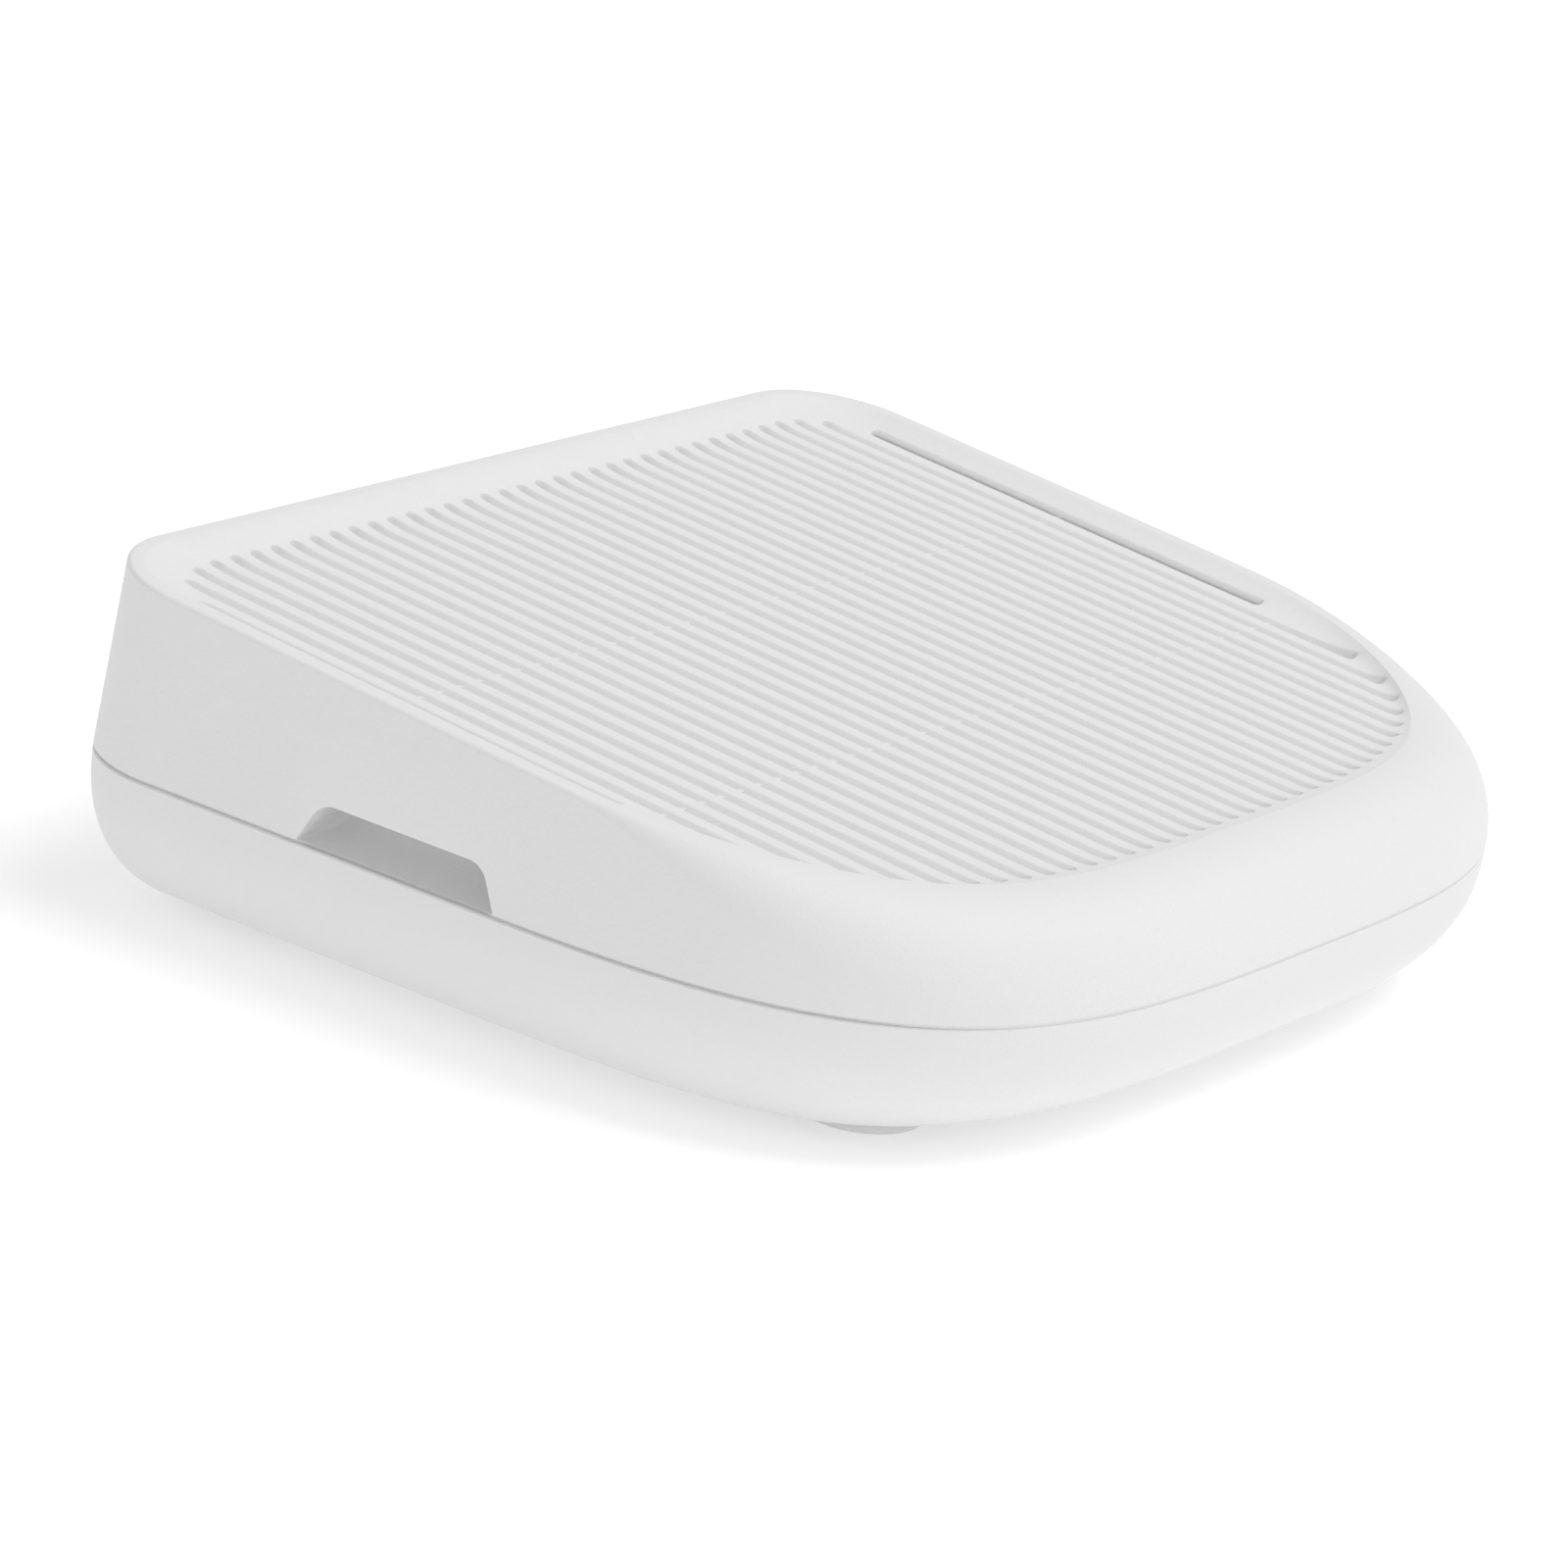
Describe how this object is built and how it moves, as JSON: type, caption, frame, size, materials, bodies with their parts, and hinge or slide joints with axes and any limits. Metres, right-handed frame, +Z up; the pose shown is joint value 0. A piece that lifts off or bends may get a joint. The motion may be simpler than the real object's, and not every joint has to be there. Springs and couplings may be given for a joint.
{
  "type": "wireless router",
  "caption": "Low rounded-square wireless router with a sloping slotted top, a bowl-shaped lower case, a grip recess at one side and network sockets along the rear.",
  "frame": {"origin": "centre of the bounding box in plan, on the table plane under the feet", "axes": "+X to the right seen from the front, +Y towards the rear panel with the ports, +Z up"},
  "size_m": [0.164, 0.137, 0.0445],
  "materials": {
    "case_plastic": "spark-eroded matte white",
    "panel_plastic": "matte white",
    "foot_rubber": "smooth pale grey",
    "screw_steel": "zinc plated",
    "label_film": "satin printed film",
    "board_laminate": "green solder mask",
    "chip_epoxy": "moulded black epoxy",
    "thermal_silicone": "soft matte",
    "heatsink_aluminium": "extruded, natural",
    "clip_nylon": "natural nylon",
    "shield_tinplate": "satin tinplate",
    "inductor_ferrite": "dull sintered grey",
    "capacitor_can": "satin",
    "crystal_can": "satin",
    "jack_shell": "plated, satin",
    "dc_plastic": "satin black",
    "switch_plastic": "satin black",
    "button_plastic": "satin pale grey",
    "led_epoxy": "clear epoxy over phosphor",
    "light_guide": "polished clear acrylic",
    "antenna_brass": "stamped, gold flash",
    "cable_jacket": "smooth jacket"
  },
  "bodies": {
    "case": {"top_cover": "case_plastic", "bottom_cover": "case_plastic", "rear_panel": "panel_plastic", "foot_front_left": "foot_rubber", "foot_front_right": "foot_rubber", "foot_rear_left": "foot_rubber", "foot_rear_right": "foot_rubber", "case_screws": "screw_steel", "rating_label": "label_film", "main_board": "board_laminate", "board_screws": "screw_steel", "processor": "chip_epoxy", "thermal_pad": "thermal_silicone", "heatsink": "heatsink_aluminium", "heatsink_clips": "clip_nylon", "memory_chip": "chip_epoxy", "flash_chip": "chip_epoxy", "switch_chip": "chip_epoxy", "wifi_chip_2g": "chip_epoxy", "wifi_chip_5g": "chip_epoxy", "wifi_shield_2g": "shield_tinplate", "wifi_shield_5g": "shield_tinplate", "wan_transformer": "chip_epoxy", "lan_transformer": "chip_epoxy", "power_inductor": "inductor_ferrite", "capacitors": "capacitor_can", "crystals": "crystal_can", "wan_jack": "jack_shell", "lan_jack_1": "jack_shell", "lan_jack_2": "jack_shell", "lan_jack_3": "jack_shell", "dc_jack": "dc_plastic", "power_switch": "switch_plastic", "pairing_switch": "switch_plastic", "reset_switch": "switch_plastic", "status_led": "led_epoxy", "light_pipe": "light_guide", "antenna_front_left": "antenna_brass", "antenna_front_right": "antenna_brass", "antenna_rear_left": "antenna_brass", "antenna_rear_right": "antenna_brass", "antenna_connectors": "antenna_brass", "antenna_cables": "cable_jacket"},
    "power_button": {"power_button": "button_plastic"},
    "pairing_button": {"pairing_button": "button_plastic"},
    "reset_button": {"reset_button": "button_plastic"}
  },
  "joints": [
    {"name": "power_press", "type": "slide", "parent": "case", "child": "power_button", "axis": [0, -1, 0], "range_m": [0, 0.0012], "stiffness_N_per_m": 300, "springref_m": -0.002},
    {"name": "pairing_press", "type": "slide", "parent": "case", "child": "pairing_button", "axis": [0, -1, 0], "range_m": [0, 0.0006], "stiffness_N_per_m": 300, "springref_m": -0.002},
    {"name": "reset_press", "type": "slide", "parent": "case", "child": "reset_button", "axis": [0, -1, 0], "range_m": [0, 0.0003], "stiffness_N_per_m": 300, "springref_m": -0.002}
  ]
}
